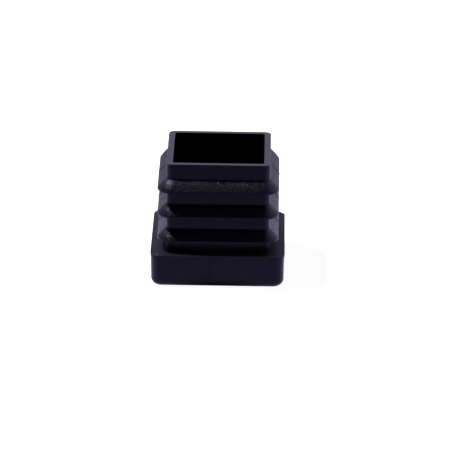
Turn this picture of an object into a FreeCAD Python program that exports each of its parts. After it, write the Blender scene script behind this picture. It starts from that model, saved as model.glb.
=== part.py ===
import FreeCAD, Part
import Sketcher
import math
import os
import re

# Ribbed end cap that plugs a 25 mm square tube, moulded in one piece.
# It stands on its head with the hollow stem upwards. The origin is at the centre of the head's
# underside, and +Z runs along the stem, into the tube. All four sides are the same.

# Driving dimensions, in millimetres and degrees.
DIMENSIONS = {
    "tube_side": 25.0,
    "head_height": 6.2,
    "head_corner_radius": 2.2,
    "head_draft_angle": 0.85,
    "head_edge_radius": 1.25,
    "lip_height": 0.55,
    "lip_proud": 0.08,
    "stem_side": 19.3,
    "stem_height": 17.0,
    "stem_corner_radius": 1.3,
    "wall_thickness": 1.2,
    "hollow_corner_radius": 0.5,
    "hollow_draft_angle": 0.5,
    "floor_thickness": 2.4,
    "floor_edge_radius": 0.3,
    "rib_count": 3,
    "rib_pitch": 4.82,
    "rib_clearance": 2.15,
    "rib_reach": 1.65,
    "rib_tip_height": 0.4,
    "rib_tip_corner_radius": 3.3,
    "rib_slope_height": 1.82,
    "rib_slope_crown": 0.1,
    "rib_edge_radius": 0.3,
    "rib_root_radius": 0.4,
    "rim_edge_radius": 0.1,
}
# Heights of the rim and of the lowest rib's tip and root above the head's underside.
RIM = "head_height + stem_height"
TIP_BOTTOM = "head_height + rib_clearance"
TIP_TOP = f"{TIP_BOTTOM} + rib_tip_height"
ROOT = f"{TIP_TOP} + rib_slope_height"
# The hollow takes away at least this share of the solid cap.
LEAST_HOLLOW_SHARE = 0.2

doc = FreeCAD.newDocument("TubeEndCap")

sheet = doc.addObject("Spreadsheet::Sheet", "Dimensions")
for row, (alias, value) in enumerate(DIMENSIONS.items(), start=1):
    sheet.set(f"A{row}", alias)
    sheet.set(f"B{row}", str(value))
    sheet.setAlias(f"B{row}", alias)
doc.recompute()

body = doc.addObject("PartDesign::Body", "EndCap")
body.Label = "end_cap"
body.Placement = FreeCAD.Placement()


def bind(item, target, expression):
    """Drive a property by an expression in the sheet's aliases."""
    aliases = "|".join(DIMENSIONS)
    item.setExpression(target, re.sub(rf"\b({aliases})\b", r"Dimensions.\1", expression))


def measure(expression):
    """The present value of an expression in the sheet's aliases."""
    return float(sheet.evalExpression(expression))


def origin_feature(role):
    """The plane or axis of the body's own origin that has this role."""
    return next(item for item in body.Origin.OriginFeatures if item.Role == role)


def rounded_square(name, height, side, corner):
    """Sketch a level square with rounded corners, centred on the stem's axis."""
    sketch = body.newObject("Sketcher::SketchObject", name)
    sketch.AttachmentSupport = [(origin_feature("XY_Plane"), "")]
    sketch.MapMode = "FlatFace"
    bind(sketch, ".AttachmentOffset.Base.z", height)

    half_side = measure(side) / 2
    radius = measure(corner)
    reach = half_side - radius
    up = FreeCAD.Vector(0, 0, 1)
    for quarter in range(4):
        turn = FreeCAD.Rotation(up, 90 * quarter)
        start = turn.multVec(FreeCAD.Vector(-reach, -half_side, 0))
        end = turn.multVec(FreeCAD.Vector(reach, -half_side, 0))
        centre = turn.multVec(FreeCAD.Vector(reach, -reach, 0))
        angle = math.pi / 2 * (quarter - 1)
        circle = Part.Circle(centre, up, radius)
        sketch.addGeometry(Part.LineSegment(start, end))
        sketch.addGeometry(Part.ArcOfCircle(circle, angle, angle + math.pi / 2))

    # Curves 0, 2, 4 and 6 are the sides and 1, 3, 5 and 7 the corners, anticlockwise from the
    # front. Point 1 of a curve is its start, 2 its end and 3 its centre; -1 is the origin.
    for curve in range(8):
        sketch.addConstraint(Sketcher.Constraint("Tangent", curve, 2, (curve + 1) % 8, 1))
    for curve in (0, 4):
        sketch.addConstraint(Sketcher.Constraint("Horizontal", curve))
    for curve in (2, 6):
        sketch.addConstraint(Sketcher.Constraint("Vertical", curve))
    for curve in (3, 5, 7):
        sketch.addConstraint(Sketcher.Constraint("Equal", 1, curve))
    sketch.addConstraint(Sketcher.Constraint("Equal", 0, 2))
    sketch.addConstraint(Sketcher.Constraint("Symmetric", 1, 3, 5, 3, -1, 1))

    width = sketch.addConstraint(Sketcher.Constraint("DistanceX", 6, 1, 2, 1, 2 * half_side))
    sketch.renameConstraint(width, "width")
    bind(sketch, "Constraints.width", side)
    bend = sketch.addConstraint(Sketcher.Constraint("Radius", 1, radius))
    sketch.renameConstraint(bend, "bend")
    bind(sketch, "Constraints.bend", corner)
    return sketch


def extrude(kind, name, profile, length, draft=None, reverse=False):
    """Pad or pocket a sketch. A positive draft widens it along the way it is extruded."""
    feature = body.newObject(f"PartDesign::{kind}", name)
    feature.Profile = profile
    feature.Reversed = reverse
    bind(feature, "Length", length)
    if draft:
        bind(feature, "TaperAngle", draft)
    return feature


def fillet_level_edges(name, radius, *heights):
    """Round every edge of the body so far that lies level at one of these heights."""
    doc.recompute()
    base = body.Tip
    levels = [measure(height) for height in heights]
    tolerance = 1e-4
    edges = []
    for number, edge in enumerate(base.Shape.Edges, start=1):
        box = edge.BoundBox
        middle = (box.ZMin + box.ZMax) / 2
        if box.ZLength < tolerance and any(abs(middle - level) < tolerance for level in levels):
            edges.append(f"Edge{number}")
    fillet = body.newObject("PartDesign::Fillet", name)
    fillet.Base = (base, edges)
    bind(fillet, "Radius", radius)
    body.Tip = fillet


# Head: a block drafted from the parting line down to its rounded underside, with a lip on top.
head_outline = rounded_square(
    "HeadOutline", "head_height - lip_height", "tube_side - 2 * lip_proud", "head_corner_radius"
)
extrude("Pad", "Head", head_outline, "head_height - lip_height", "-1 * head_draft_angle", True)
lip_outline = rounded_square(
    "LipOutline", "head_height - lip_height", "tube_side", "head_corner_radius"
)
extrude("Pad", "Lip", lip_outline, "lip_height")
fillet_level_edges("HeadEdge", "head_edge_radius", "0")

# Stem: the square post that goes into the tube.
stem_outline = rounded_square("StemOutline", "head_height", "stem_side", "stem_corner_radius")
extrude("Pad", "Stem", stem_outline, "stem_height")

# Ribs: each has a flat underside and a narrow upright tip, then slopes back to the stem above
# it, so that it slides into the tube but resists being pulled out. The slope bulges slightly,
# and its corners open from the stem's small radius to the tip's larger one.
tip_side = "stem_side + 2 * rib_reach"
tip_outline = rounded_square("RibTipOutline", TIP_BOTTOM, tip_side, "rib_tip_corner_radius")
rib_tip = extrude("Pad", "RibTip", tip_outline, "rib_tip_height")
slope_outline = rounded_square("RibSlopeOutline", TIP_TOP, tip_side, "rib_tip_corner_radius")
crown_outline = rounded_square(
    "RibCrownOutline",
    f"{TIP_TOP} + rib_slope_height / 2",
    "stem_side + rib_reach + 2 * rib_slope_crown",
    "(rib_tip_corner_radius + stem_corner_radius) / 2",
)
root_outline = rounded_square("RibRootOutline", ROOT, "stem_side", "stem_corner_radius")
rib_slope = body.newObject("PartDesign::AdditiveLoft", "RibSlope")
rib_slope.Profile = slope_outline
rib_slope.Sections = [crown_outline, root_outline]

ribs = body.newObject("PartDesign::LinearPattern", "Ribs")
ribs.Originals = [rib_tip, rib_slope]
ribs.Direction = (origin_feature("Z_Axis"), [""])
bind(ribs, "Length", "rib_pitch * (rib_count - 1)")
bind(ribs, "Occurrences", "rib_count")
body.Tip = ribs

rib_steps = [f"{number} * rib_pitch" for number in range(DIMENSIONS["rib_count"])]
fillet_level_edges("RibEdges", "rib_edge_radius", *[f"{TIP_TOP} + {step}" for step in rib_steps])
fillet_level_edges("RibRoots", "rib_root_radius", *[f"{ROOT} + {step}" for step in rib_steps])

# Hollow: a drafted square well from the rim down into the head, leaving the head's floor.
doc.recompute()
solid_volume = body.Tip.Shape.Volume
mouth_outline = rounded_square(
    "MouthOutline", RIM, "stem_side - 2 * wall_thickness", "hollow_corner_radius"
)
extrude("Pocket", "Hollow", mouth_outline, f"{RIM} - floor_thickness", "-1 * hollow_draft_angle")
fillet_level_edges("FloorEdge", "floor_edge_radius", "floor_thickness")
fillet_level_edges("RimEdges", "rim_edge_radius", RIM)

doc.recompute()

failed = [item.Name for item in doc.Objects if {"Invalid", "Error"} & set(item.State)]
if failed:
    raise RuntimeError(f"these objects failed: {failed}")
sketches = [item for item in body.Group if hasattr(item, "FullyConstrained")]
loose = [sketch.Name for sketch in sketches if not sketch.FullyConstrained]
if loose:
    raise RuntimeError(f"these sketches are not fully constrained: {loose}")
shape = body.Shape
if shape.isNull() or not shape.isValid() or len(shape.Solids) != 1:
    raise RuntimeError("the end cap is not one valid solid")
if shape.Volume > (1 - LEAST_HOLLOW_SHARE) * solid_volume:
    raise RuntimeError("the hollow cut too little")

print(f"end_cap: {shape.Volume:.1f} mm3, {shape.BoundBox}")
os.makedirs("parts", exist_ok=True)
shape.exportStep(f"parts/{body.Label}.step")
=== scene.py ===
import math

import bpy
from mathutils import Matrix, Vector, noise


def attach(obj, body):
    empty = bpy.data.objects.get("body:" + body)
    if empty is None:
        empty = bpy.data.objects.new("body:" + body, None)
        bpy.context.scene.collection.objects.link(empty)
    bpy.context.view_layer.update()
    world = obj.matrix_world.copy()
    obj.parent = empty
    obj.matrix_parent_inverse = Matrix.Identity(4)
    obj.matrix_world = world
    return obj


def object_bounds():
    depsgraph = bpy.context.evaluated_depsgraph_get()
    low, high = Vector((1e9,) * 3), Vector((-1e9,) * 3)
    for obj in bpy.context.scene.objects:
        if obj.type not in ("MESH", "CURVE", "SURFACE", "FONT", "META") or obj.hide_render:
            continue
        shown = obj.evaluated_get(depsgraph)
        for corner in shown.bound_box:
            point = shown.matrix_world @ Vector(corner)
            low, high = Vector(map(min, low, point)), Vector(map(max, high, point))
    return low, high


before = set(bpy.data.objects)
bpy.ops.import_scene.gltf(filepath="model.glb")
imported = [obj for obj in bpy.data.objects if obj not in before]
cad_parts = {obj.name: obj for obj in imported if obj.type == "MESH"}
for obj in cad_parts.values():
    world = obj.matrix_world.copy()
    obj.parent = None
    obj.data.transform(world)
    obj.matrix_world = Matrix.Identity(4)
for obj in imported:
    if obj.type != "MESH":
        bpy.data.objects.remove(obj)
cad_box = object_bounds()

# Lengths below are in millimetres and angles in degrees, unless they say otherwise.
MM = 0.001

# The camera's place, fitted to the cap's edges in the photograph of 452 by 452 pixels.
PHOTO_PIXELS = 452
FOCAL_PIXELS = 3782
SENSOR_WIDTH = 36.0
CAMERA_DISTANCE = 712.5
CAMERA_ELEVATION = 20.52
CAMERA_AZIMUTH = 0.67
CAMERA_ROLL = 0.64
AIM_POINT = (1.406, 0.0, 7.655)

# The cap's sizes. The frame gives the first two, and the others are those of the part's source.
HEAD_HALF = cad_box[1][0] / MM
RIM = cad_box[1][2] / MM
SHOULDER = 6.2
HEAD_CORNER_RADIUS = 2.2
STEM_HALF = 19.3 / 2
WALL_THICKNESS = 1.2
HOLLOW_HALF = STEM_HALF - WALL_THICKNESS
RIB_REACH = 1.65
RIB_HALF = STEM_HALF + RIB_REACH
RIB_COUNT = 3
RIB_PITCH = 4.82
RIB_CLEARANCE = 2.15
RIB_TIP_HEIGHT = 0.4
RIB_SLOPE_HEIGHT = 1.82
RIB_SLOPE_CROWN = 0.1
RIM_ROUNDING = 0.1

# How the cap's edges are dressed: faces that meet at less than the first angle are joined, and
# edges sharper than the second are rounded.
FLAT_ANGLE = 0.5
SHARP_ANGLE = 25
EDGE_ROUNDING = 0.05

# Where each finish begins and where it is complete. A face's facing is the upward part of its
# normal: 0 on walls, about 0.67 on the ribs' slopes and 1 on level faces.
FACING_ABOVE_WALL = (0.3, 0.45)
FACING_BELOW_LEVEL = (0.92, 0.8)
FACING_LEVEL = (0.8, 0.95)
FROM_AXIS_IN_HOLLOW = (HOLLOW_HALF + 0.25, HOLLOW_HALF + 0.05)
HEIGHT_IN_HOLLOW = (1.0, 2.0)
HEIGHT_AT_RIM = (RIM - 0.4, RIM - 0.2)
FROM_SHOULDER = (0.2, 0.1)

# The plastic's noises: ripples per metre, and the range of each that is used.
GRAIN_RIPPLES = 6500
SPECKLE_RIPPLES = 4600
CLOUD_RIPPLES = 700
SPECKLE_RANGE = (0.35, 0.65)
CLOUD_RANGE = (0.3, 0.7)

# The plastic's finish. The grain has the first share of its depth on smooth faces and the second
# on the ribs' slopes. The other pairs go from the low end of a noise to its high end.
GRAIN_DEPTH = 0.055
GRAIN_SHARE = (0.15, 1.0)
SATIN_ROUGHNESS = (0.30, 0.44)
SLOPE_ROUGHNESS = (0.2, 0.4)
SHOULDER_ROUGHNESS = (0.48, 0.6)
HOLLOW_ROUGHNESS = 0.15
RIM_ROUGHNESS = 0.2
BLACKS = ((0.0022, 0.002, 0.003, 1), (0.003, 0.0027, 0.004, 1))
SPECULAR_LEVEL = 0.13
SPECULAR_TINT = (0.67, 0.62, 1.0, 1)

# The studio. A strength of 1 is white, and the plastic mirrors its surroundings a little cool.
WHITE = (1, 1, 1, 1)
COOL_WHITE = (0.75, 0.68, 1.0, 1)
AMBIENT = 0.023

# What the plastic mirrors in place of a sky: one strength all round, a dark patch above the
# camera, a bright one added at the right, and shares by how far a direction points up and right.
# A patch's edge and core are angles from its middle, with the strength outside and inside.
SKY = 1.2
DARK_PATCH = {"azimuth": -20, "elevation": 50, "edge": 66, "core": 40, "strengths": (SKY, 0.1)}
BRIGHT_PATCH = {"azimuth": 105, "elevation": 40, "edge": 40, "core": 20, "strengths": (0, 1.5)}
UPWARD = (0.02, 0.25)
UPWARD_SHARE = (0.7, 1.0)
RIGHTWARD = (0.0, 0.35)
RIGHTWARD_SHARE = (1.0, 1.2)

# The table's painted reflection light: what the table glows with in the plastic's gloss only, with
# painted shade at the cap's foot and a painted pool of light round it, dimmer in front, behind and
# far away and brighter to the right. Strengths, and the stretches over which one becomes the next.
# Backward is -1 straight in front of the cap, 0 beside it and 1 straight behind it.
# Painted shade in the table's glow at the cap's foot, then a painted pool of light near it.
PAINTED_SHADE_AT_FOOT = 0.3
PAINTED_POOL_NEAR = 2.0
TABLE_IN_FRONT = 1.65
TABLE_FAR = 0.42
DISTANCE_FOOT_TO_NEAR = (12.5, 16.0)
DISTANCE_NEAR_TO_FRONT = (22.0, 45.0)
DISTANCE_NEAR_TO_FAR = (80.0, 150.0)
BACKWARD_IN_FRONT = (-0.7, -0.97)
BACKWARD_BEHIND = (0.0, 0.7)
BEHIND_SHARE = (1.0, 0.68)
DISTANCE_TO_RIGHT = (25.0, 70.0)
RIGHT_SHARE = (0.95, 1.55)

# The table top itself. It lies a hair below the cap, so that the two share no plane.
TABLE_HALF = 1500.0
TABLE_LEVEL = -0.02
PAPER = (0.25, 0.25, 0.25, 1)
PAPER_GLOW = 0.96


def world_vector(azimuth, elevation):
    """The direction from the cap towards a place, where azimuth 0 is the viewer's side."""
    a, e = math.radians(azimuth), math.radians(elevation)
    return Vector((math.sin(a) * math.cos(e), -math.cos(a) * math.cos(e), math.sin(e)))


def make_camera():
    """The photograph's view: a long lens from a little above the front."""
    back = world_vector(CAMERA_AZIMUTH, CAMERA_ELEVATION)
    level = Vector((0, 0, 1)).cross(back).normalized()
    upright = back.cross(level)
    roll = math.radians(CAMERA_ROLL)
    right = level * math.cos(roll) + upright * math.sin(roll)
    up = back.cross(right)

    data = bpy.data.cameras.new("camera")
    data.sensor_width = SENSOR_WIDTH
    data.lens = FOCAL_PIXELS / PHOTO_PIXELS * SENSOR_WIDTH
    data.clip_start = 0.01
    data.clip_end = 20
    camera = bpy.data.objects.new("camera", data)
    bpy.context.scene.collection.objects.link(camera)
    turn = Matrix((right, up, back)).transposed().to_4x4()
    place = Vector(AIM_POINT) * MM + back * CAMERA_DISTANCE * MM
    camera.matrix_world = Matrix.Translation(place) @ turn
    bpy.context.scene.camera = camera


def empty_tree(owner):
    """The shader nodes of a material or world, without those that it starts with."""
    owner.use_nodes = True
    owner.node_tree.nodes.clear()
    return owner.node_tree


def add(tree, kind, values=None, **settings):
    """Add a shader node with these settings, and with values or links for its inputs."""
    node = tree.nodes.new(kind)
    for name, value in settings.items():
        setattr(node, name, value)
    for name, value in (values or {}).items():
        if isinstance(value, bpy.types.NodeSocket):
            tree.links.new(value, node.inputs[name])
        else:
            node.inputs[name].default_value = value
    return node


def ramp(tree, value, span, results=(0.0, 1.0), unit=1.0):
    """A number that goes through the results as the value goes through the span, in this unit."""
    values = {
        "Value": value,
        "From Min": span[0] * unit,
        "From Max": span[1] * unit,
        "To Min": results[0],
        "To Max": results[1],
    }
    return add(tree, "ShaderNodeMapRange", values).outputs["Result"]


def combine(tree, operation, first, second=0.0):
    """One arithmetic operation on two numbers."""
    return add(tree, "ShaderNodeMath", {0: first, 1: second}, operation=operation).outputs["Value"]


def product(tree, first, *others):
    """All these numbers multiplied."""
    for other in others:
        first = combine(tree, "MULTIPLY", first, other)
    return first


def ripples(tree, place, scale, detail):
    """Noise round 0.5 at this place, with this many ripples per metre."""
    values = {"Vector": place, "Scale": scale, "Detail": detail}
    return add(tree, "ShaderNodeTexNoise", values).outputs["Fac"]


def mix_shaders(tree, share, first, second):
    """The first shader, replaced by the second as the share goes from 0 to 1."""
    return add(tree, "ShaderNodeMixShader", {"Fac": share, 1: first, 2: second}).outputs["Shader"]


def by_ray(tree, seen, mirrored, other):
    """One shader for the camera and through glass, one in gloss, and one for all other light."""
    path = add(tree, "ShaderNodeLightPath").outputs
    indirect = mix_shaders(tree, path["Is Glossy Ray"], other, mirrored)
    direct = combine(tree, "MAXIMUM", path["Is Camera Ray"], path["Is Transmission Ray"])
    return mix_shaders(tree, direct, indirect, seen)


def cap_regions(tree, coordinates):
    """Shares from 0 to 1 of the ribs' slopes, the hollow, the rim and the shoulder."""
    facing = add(tree, "ShaderNodeSeparateXYZ", {"Vector": coordinates["Normal"]}).outputs["Z"]
    point = add(tree, "ShaderNodeSeparateXYZ", {"Vector": coordinates["Object"]}).outputs

    above_wall = ramp(tree, facing, FACING_ABOVE_WALL)
    slopes = product(tree, above_wall, ramp(tree, facing, FACING_BELOW_LEVEL))

    from_axis = [combine(tree, "ABSOLUTE", point[axis]) for axis in "XY"]
    within = [ramp(tree, distance, FROM_AXIS_IN_HOLLOW, unit=MM) for distance in from_axis]
    hollow = product(tree, *within, ramp(tree, point["Z"], HEIGHT_IN_HOLLOW, unit=MM))

    rim = ramp(tree, point["Z"], HEIGHT_AT_RIM, unit=MM)

    above_shoulder = combine(tree, "SUBTRACT", point["Z"], SHOULDER * MM)
    from_shoulder = combine(tree, "ABSOLUTE", above_shoulder)
    near_shoulder = ramp(tree, from_shoulder, FROM_SHOULDER, unit=MM)
    shoulder = product(tree, near_shoulder, ramp(tree, facing, FACING_LEVEL))
    return slopes, hollow, rim, shoulder


def plastic():
    """Satin black polyethylene: spark-grained on the ribs' slopes, smooth inside the hollow."""
    material = bpy.data.materials.new("moulded_plastic")
    tree = empty_tree(material)
    coordinates = add(tree, "ShaderNodeTexCoord").outputs
    slopes, hollow, rim, shoulder = cap_regions(tree, coordinates)
    place = coordinates["Object"]
    grain = ripples(tree, place, GRAIN_RIPPLES, detail=1)
    speckle = ripples(tree, place, SPECKLE_RIPPLES, detail=1)
    cloud = ripples(tree, place, CLOUD_RIPPLES, detail=4)

    share = ramp(tree, slopes, (0, 1), GRAIN_SHARE)
    values = {"Strength": share, "Distance": GRAIN_DEPTH * MM, "Height": grain}
    bump = add(tree, "ShaderNodeBump", values).outputs["Normal"]

    roughness = ramp(tree, cloud, CLOUD_RANGE, SATIN_ROUGHNESS)
    finishes = (
        (slopes, ramp(tree, speckle, SPECKLE_RANGE, SLOPE_ROUGHNESS)),
        (hollow, HOLLOW_ROUGHNESS),
        (rim, RIM_ROUGHNESS),
        (shoulder, ramp(tree, speckle, SPECKLE_RANGE, SHOULDER_ROUGHNESS)),
    )
    for region, finish in finishes:
        values = {"Factor": region, "A": roughness, "B": finish}
        roughness = add(tree, "ShaderNodeMix", values).outputs["Result"]

    # In a mix of colours, input 0 is the factor, 6 and 7 are A and B, and output 2 is the result.
    values = {0: cloud, 6: BLACKS[0], 7: BLACKS[1]}
    colour = add(tree, "ShaderNodeMix", values, data_type="RGBA").outputs[2]
    values = {
        "Base Color": colour,
        "Roughness": roughness,
        "Specular IOR Level": SPECULAR_LEVEL,
        "Specular Tint": SPECULAR_TINT,
        "Normal": bump,
    }
    shader = add(tree, "ShaderNodeBsdfPrincipled", values)
    add(tree, "ShaderNodeOutputMaterial", {"Surface": shader.outputs["BSDF"]})
    return material


def softbox(name, azimuth, elevation, distance, size, radiance):
    """A square lamp that faces the cap. Radiance is in watts per square metre and steradian."""
    data = bpy.data.lights.new(name, "AREA")
    data.shape = "SQUARE"
    data.size = size * MM
    data.energy = radiance * math.pi * data.size**2
    lamp = bpy.data.objects.new(name, data)
    direction = world_vector(azimuth, elevation)
    lamp.location = direction * distance * MM
    lamp.rotation_mode = "QUATERNION"
    lamp.rotation_quaternion = direction.to_track_quat("Z", "Y")
    bpy.context.scene.collection.objects.link(lamp)


def patch(tree, where, azimuth, elevation, edge, core, strengths):
    """How strongly a round patch of the sky glows in this direction."""
    values = {0: where, 1: world_vector(azimuth, elevation)}
    nearness = add(tree, "ShaderNodeVectorMath", values, operation="DOT_PRODUCT").outputs["Value"]
    span = [math.cos(math.radians(angle)) for angle in (edge, core)]
    return ramp(tree, nearness, span, strengths)


def make_world():
    """White to the camera, while the plastic mirrors a cool sky with a dark and a bright patch."""
    world = bpy.data.worlds.new("studio")
    bpy.context.scene.world = world
    tree = empty_tree(world)
    where = add(tree, "ShaderNodeTexCoord").outputs["Generated"]
    heading = add(tree, "ShaderNodeSeparateXYZ", {"Vector": where}).outputs

    dark = patch(tree, where, **DARK_PATCH)
    bright = patch(tree, where, **BRIGHT_PATCH)
    mirrored = product(
        tree,
        combine(tree, "ADD", dark, bright),
        ramp(tree, heading["Z"], UPWARD, UPWARD_SHARE),
        ramp(tree, heading["X"], RIGHTWARD, RIGHTWARD_SHARE),
    )

    lights = ((WHITE, 1.0), (COOL_WHITE, mirrored), (COOL_WHITE, AMBIENT))
    backgrounds = [
        add(tree, "ShaderNodeBackground", {"Color": colour, "Strength": strength})
        for colour, strength in lights
    ]
    surface = by_ray(tree, *[background.outputs["Background"] for background in backgrounds])
    add(tree, "ShaderNodeOutputWorld", {"Surface": surface})


def painted_table_light(tree):
    """Painted reflection light that the table glows with in gloss, by where a point lies round the
    cap.
    """
    position = add(tree, "ShaderNodeNewGeometry").outputs["Position"]
    distance = add(tree, "ShaderNodeVectorMath", {0: position}, operation="LENGTH").outputs["Value"]
    point = add(tree, "ShaderNodeSeparateXYZ", {"Vector": position}).outputs
    backward = combine(tree, "DIVIDE", point["Y"], distance)

    # Painted shade at the cap's foot, rising to a painted pool of light near it.
    near = ramp(tree, distance, DISTANCE_FOOT_TO_NEAR, (PAINTED_SHADE_AT_FOOT, PAINTED_POOL_NEAR), MM)
    less_in_front = product(
        tree,
        ramp(tree, distance, DISTANCE_NEAR_TO_FRONT, (0, PAINTED_POOL_NEAR - TABLE_IN_FRONT), MM),
        ramp(tree, backward, BACKWARD_IN_FRONT),
    )
    less_far = ramp(tree, distance, DISTANCE_NEAR_TO_FAR, (0, PAINTED_POOL_NEAR - TABLE_FAR), MM)
    near_or_front = combine(tree, "SUBTRACT", near, less_in_front)
    return product(
        tree,
        combine(tree, "SUBTRACT", near_or_front, less_far),
        ramp(tree, backward, BACKWARD_BEHIND, BEHIND_SHARE),
        ramp(tree, point["X"], DISTANCE_TO_RIGHT, RIGHT_SHARE, MM),
    )


def make_floor():
    """A white table top that shows white to the camera, apart from the cap's own soft shadow."""
    around = ((-1, -1), (1, -1), (1, 1), (-1, 1))
    corners = [Vector((x * TABLE_HALF, y * TABLE_HALF, TABLE_LEVEL)) * MM for x, y in around]
    mesh = bpy.data.meshes.new("floor")
    mesh.from_pydata(corners, [], [(0, 1, 2, 3)])
    floor = bpy.data.objects.new("floor", mesh)
    bpy.context.scene.collection.objects.link(floor)

    material = bpy.data.materials.new("white_table")
    tree = empty_tree(material)
    paper = add(tree, "ShaderNodeBsdfDiffuse", {"Color": PAPER}).outputs["BSDF"]
    # Besides showing the camera even white, the table glows with painted reflection light in gloss.
    lights = ((WHITE, PAPER_GLOW), (COOL_WHITE, painted_table_light(tree)))
    glow, mirrored = [
        add(tree, "ShaderNodeEmission", {"Color": colour, "Strength": strength}).outputs["Emission"]
        for colour, strength in lights
    ]
    seen = add(tree, "ShaderNodeAddShader", {0: paper, 1: glow}).outputs["Shader"]
    surface = by_ray(tree, seen, mirrored, paper)
    add(tree, "ShaderNodeOutputMaterial", {"Surface": surface})
    mesh.materials.append(material)


def dress_cap(material):
    """The cap keeps its own solid, takes the plastic and loses the sharpness of its edges."""
    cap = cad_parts["end_cap"]
    cap.data.materials.clear()
    cap.data.materials.append(material)

    flatten = cap.modifiers.new("flatten", "DECIMATE")
    flatten.decimate_type = "DISSOLVE"
    flatten.angle_limit = math.radians(FLAT_ANGLE)
    rounding = cap.modifiers.new("round_edges", "BEVEL")
    rounding.width = EDGE_ROUNDING * MM
    rounding.segments = 2
    rounding.limit_method = "ANGLE"
    rounding.angle_limit = math.radians(SHARP_ANGLE)
    rounding.harden_normals = True


def ridge(name, material, sections, closed):
    """A thin raised line of plastic. Each section is its two feet with its crest between them."""
    vertices = [Vector(corner) * MM for section in sections for corner in section]
    corners = 3
    count = len(sections)
    faces = []
    for start in range(count if closed else count - 1):
        here, there = corners * start, corners * ((start + 1) % count)
        for corner in range(corners):
            beside = (corner + 1) % corners
            faces.append((here + corner, there + corner, there + beside, here + beside))
    if not closed:
        last = len(vertices)
        faces += [(0, 1, 2), (last - 1, last - 2, last - 3)]
    mesh = bpy.data.meshes.new(name)
    mesh.from_pydata(vertices, [], faces)
    mesh.materials.append(material)
    piece = bpy.data.objects.new(name, mesh)
    bpy.context.scene.collection.objects.link(piece)
    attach(piece, "root")


def stem_profile():
    """The stem's outline from the shoulder to the rim, as distances from its axis and heights."""
    points = [(STEM_HALF, SHOULDER)]
    slope_steps = 6
    for number in range(RIB_COUNT):
        height = SHOULDER + RIB_CLEARANCE + number * RIB_PITCH
        points += [(STEM_HALF, height), (RIB_HALF, height)]
        for step in range(slope_steps + 1):
            t = step / slope_steps
            straight = RIB_HALF + (STEM_HALF - RIB_HALF) * t
            bulge = 4 * RIB_SLOPE_CROWN * t * (1 - t)
            points.append((straight + bulge, height + RIB_TIP_HEIGHT + RIB_SLOPE_HEIGHT * t))
    points.append((STEM_HALF, RIM - RIM_ROUNDING))
    return points


def mould_seam(name, material, side):
    """The line where the mould's halves meet, up the middle of one side of the stem."""
    half_width = 0.06
    height = 0.045
    sunk = 0.03
    points = [Vector(point) for point in stem_profile()]
    sections = []
    for number, point in enumerate(points):
        before = points[max(number - 1, 0)]
        after = points[min(number + 1, len(points) - 1)]
        along = (point - before).normalized() + (after - point).normalized()
        outward = Vector((along.y, -along.x)).normalized()
        foot = point - outward * sunk
        crest = point + outward * height
        sections.append(
            (
                (side * foot.x, -half_width, foot.y),
                (side * crest.x, 0, crest.y),
                (side * foot.x, half_width, foot.y),
            )
        )
    ridge(name, material, sections, closed=False)


def lip_flash(material):
    """The faint ragged edge that the mould leaves round the top of the head."""
    inset = 0.11
    outer_foot = 0.105
    inner_foot = 0.12
    outer_sunk = 0.02
    inner_sunk = 0.03
    least_height = 0.01
    ragged_height = 0.09
    waves_per_mm = 1.3
    dimension, lacunarity, octaves = 1.0, 2.0, 3
    step = 0.2

    # Each quarter of the way round the head is a straight side and then a corner.
    half = HEAD_HALF - inset
    radius = HEAD_CORNER_RADIUS - inset
    straight = half - radius
    quarter = 2 * straight + radius * math.pi / 2
    count = round(4 * quarter / step)
    sections = []
    for number in range(count):
        distance = number * 4 * quarter / count
        side, along = divmod(distance, quarter)
        bend = max(along - 2 * straight, 0) / radius
        turn = side * math.pi / 2 + bend
        outward = Vector((math.sin(turn), -math.cos(turn), 0))
        if bend:
            corner = Matrix.Rotation(side * math.pi / 2, 3, "Z") @ Vector((straight, -straight, 0))
            point = corner + outward * radius
        else:
            flat = Vector((along - straight, -half, 0))
            point = Matrix.Rotation(side * math.pi / 2, 3, "Z") @ flat
        ragged = noise.fractal(point * waves_per_mm, dimension, lacunarity, octaves)
        height = least_height + ragged_height * max(ragged, 0)
        foot_out = point + outward * outer_foot + Vector((0, 0, SHOULDER - outer_sunk))
        crest = point + Vector((0, 0, SHOULDER + height))
        foot_in = point - outward * inner_foot + Vector((0, 0, SHOULDER - inner_sunk))
        sections.append((foot_out, crest, foot_in))
    ridge("lip_flash", material, sections, closed=True)


black_plastic = plastic()
dress_cap(black_plastic)
mould_seam("mould_seam_left", black_plastic, -1)
mould_seam("mould_seam_right", black_plastic, 1)
lip_flash(black_plastic)
make_floor()
make_world()
softbox("key", azimuth=-98, elevation=64, distance=600, size=60, radiance=850)
make_camera()

bpy.context.scene.view_settings.view_transform = "Standard"
